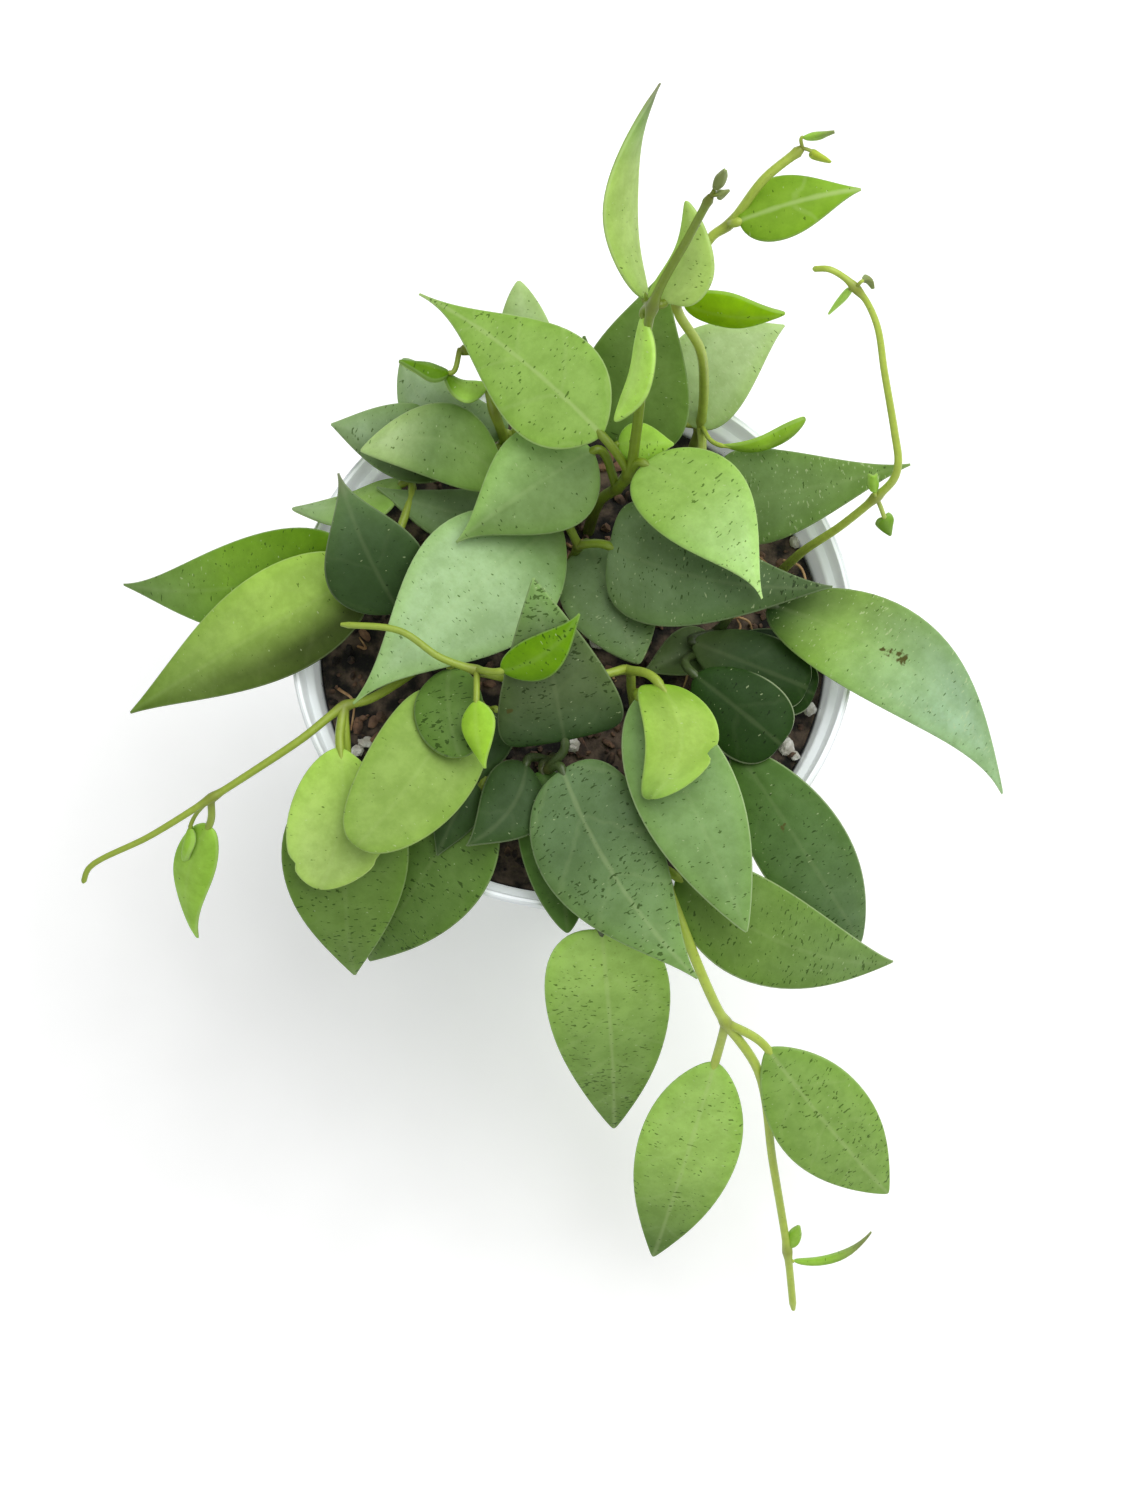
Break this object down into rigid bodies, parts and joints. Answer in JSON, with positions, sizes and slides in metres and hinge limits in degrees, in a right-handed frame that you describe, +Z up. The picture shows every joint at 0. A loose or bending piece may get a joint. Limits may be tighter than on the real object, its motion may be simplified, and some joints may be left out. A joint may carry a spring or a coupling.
{
  "type": "potted climbing plant",
  "caption": "Small climbing plant with mint green oval leaves and long trailing stems, growing in potting mix in a round thin-walled nursery pot.",
  "frame": {"origin": "centre of the pot's flat base", "axes": "+Z up; +Y away from the viewer of the picture"},
  "size_m": [0.1702, 0.1914, 0.1773],
  "materials": {
    "pot_plastic": "satin, slightly see-through white plastic",
    "potting_mix": "dark crumbly potting mix with white perlite",
    "mint_leaf": "satin leaf with a silvery sheen",
    "young_leaf": "satin bright young leaf",
    "green_leaf": "satin leaf with dark flecks",
    "deep_leaf": "satin dark leaf with silvery flecks"
  },
  "bodies": {
    "root": {"pot": "pot_plastic", "potting_mix": "potting_mix", "centre_vine": "mint_leaf", "back_vine": "young_leaf", "right_vine": "young_leaf", "curl_vine": "young_leaf", "left_vine": "young_leaf", "trailing_vine": "green_leaf", "front_right_spray": "deep_leaf", "left_spray": "green_leaf", "back_spray": "mint_leaf", "middle_spray": "mint_leaf", "front_left_spray": "green_leaf", "front_spray": "deep_leaf", "right_spray": "deep_leaf"}
  },
  "joints": []
}
